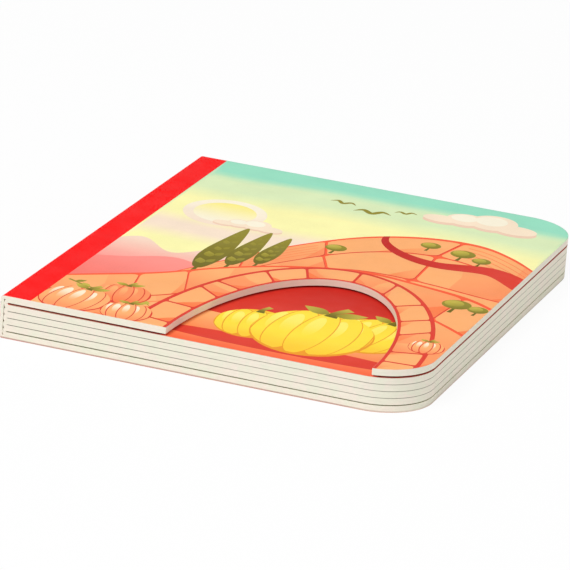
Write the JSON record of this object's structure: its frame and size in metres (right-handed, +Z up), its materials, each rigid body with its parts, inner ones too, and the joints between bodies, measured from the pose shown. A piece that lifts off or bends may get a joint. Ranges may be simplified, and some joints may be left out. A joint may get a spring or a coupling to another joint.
{
  "type": "board book",
  "caption": "Thick-paged board book with rounded fore-edge corners, a wrapped spine and an arched window in its front cover; both covers open.",
  "frame": {"origin": "middle of the underside of the shut book, which lies on its back cover", "axes": "+X from the spine towards the fore edge, +Y from the tail (the end with the window) towards the head, +Z up through the boards to the front cover"},
  "size_m": [0.137, 0.17, 0.0139],
  "materials": {
    "cover_board": "matt laminated print on white board",
    "page_board": "die-cut board edge, uncoated"
  },
  "bodies": {
    "block": {"pages": "page_board", "spine": "cover_board", "front_hinge": "cover_board", "back_hinge": "cover_board"},
    "front": {"front_cover": "cover_board"},
    "back": {"back_cover": "cover_board"}
  },
  "joints": [
    {"name": "front_cover_hinge", "type": "hinge", "parent": "block", "child": "front", "pos_m": [-0.06855, 0, 0.01148], "axis": [0, -1, 0], "range_deg": [0, 180], "deforming": ["front_hinge"]},
    {"name": "back_cover_hinge", "type": "hinge", "parent": "block", "child": "back", "pos_m": [-0.06855, 0, 0.00228], "axis": [0, 1, 0], "range_deg": [0, 180], "deforming": ["back_hinge"]}
  ]
}
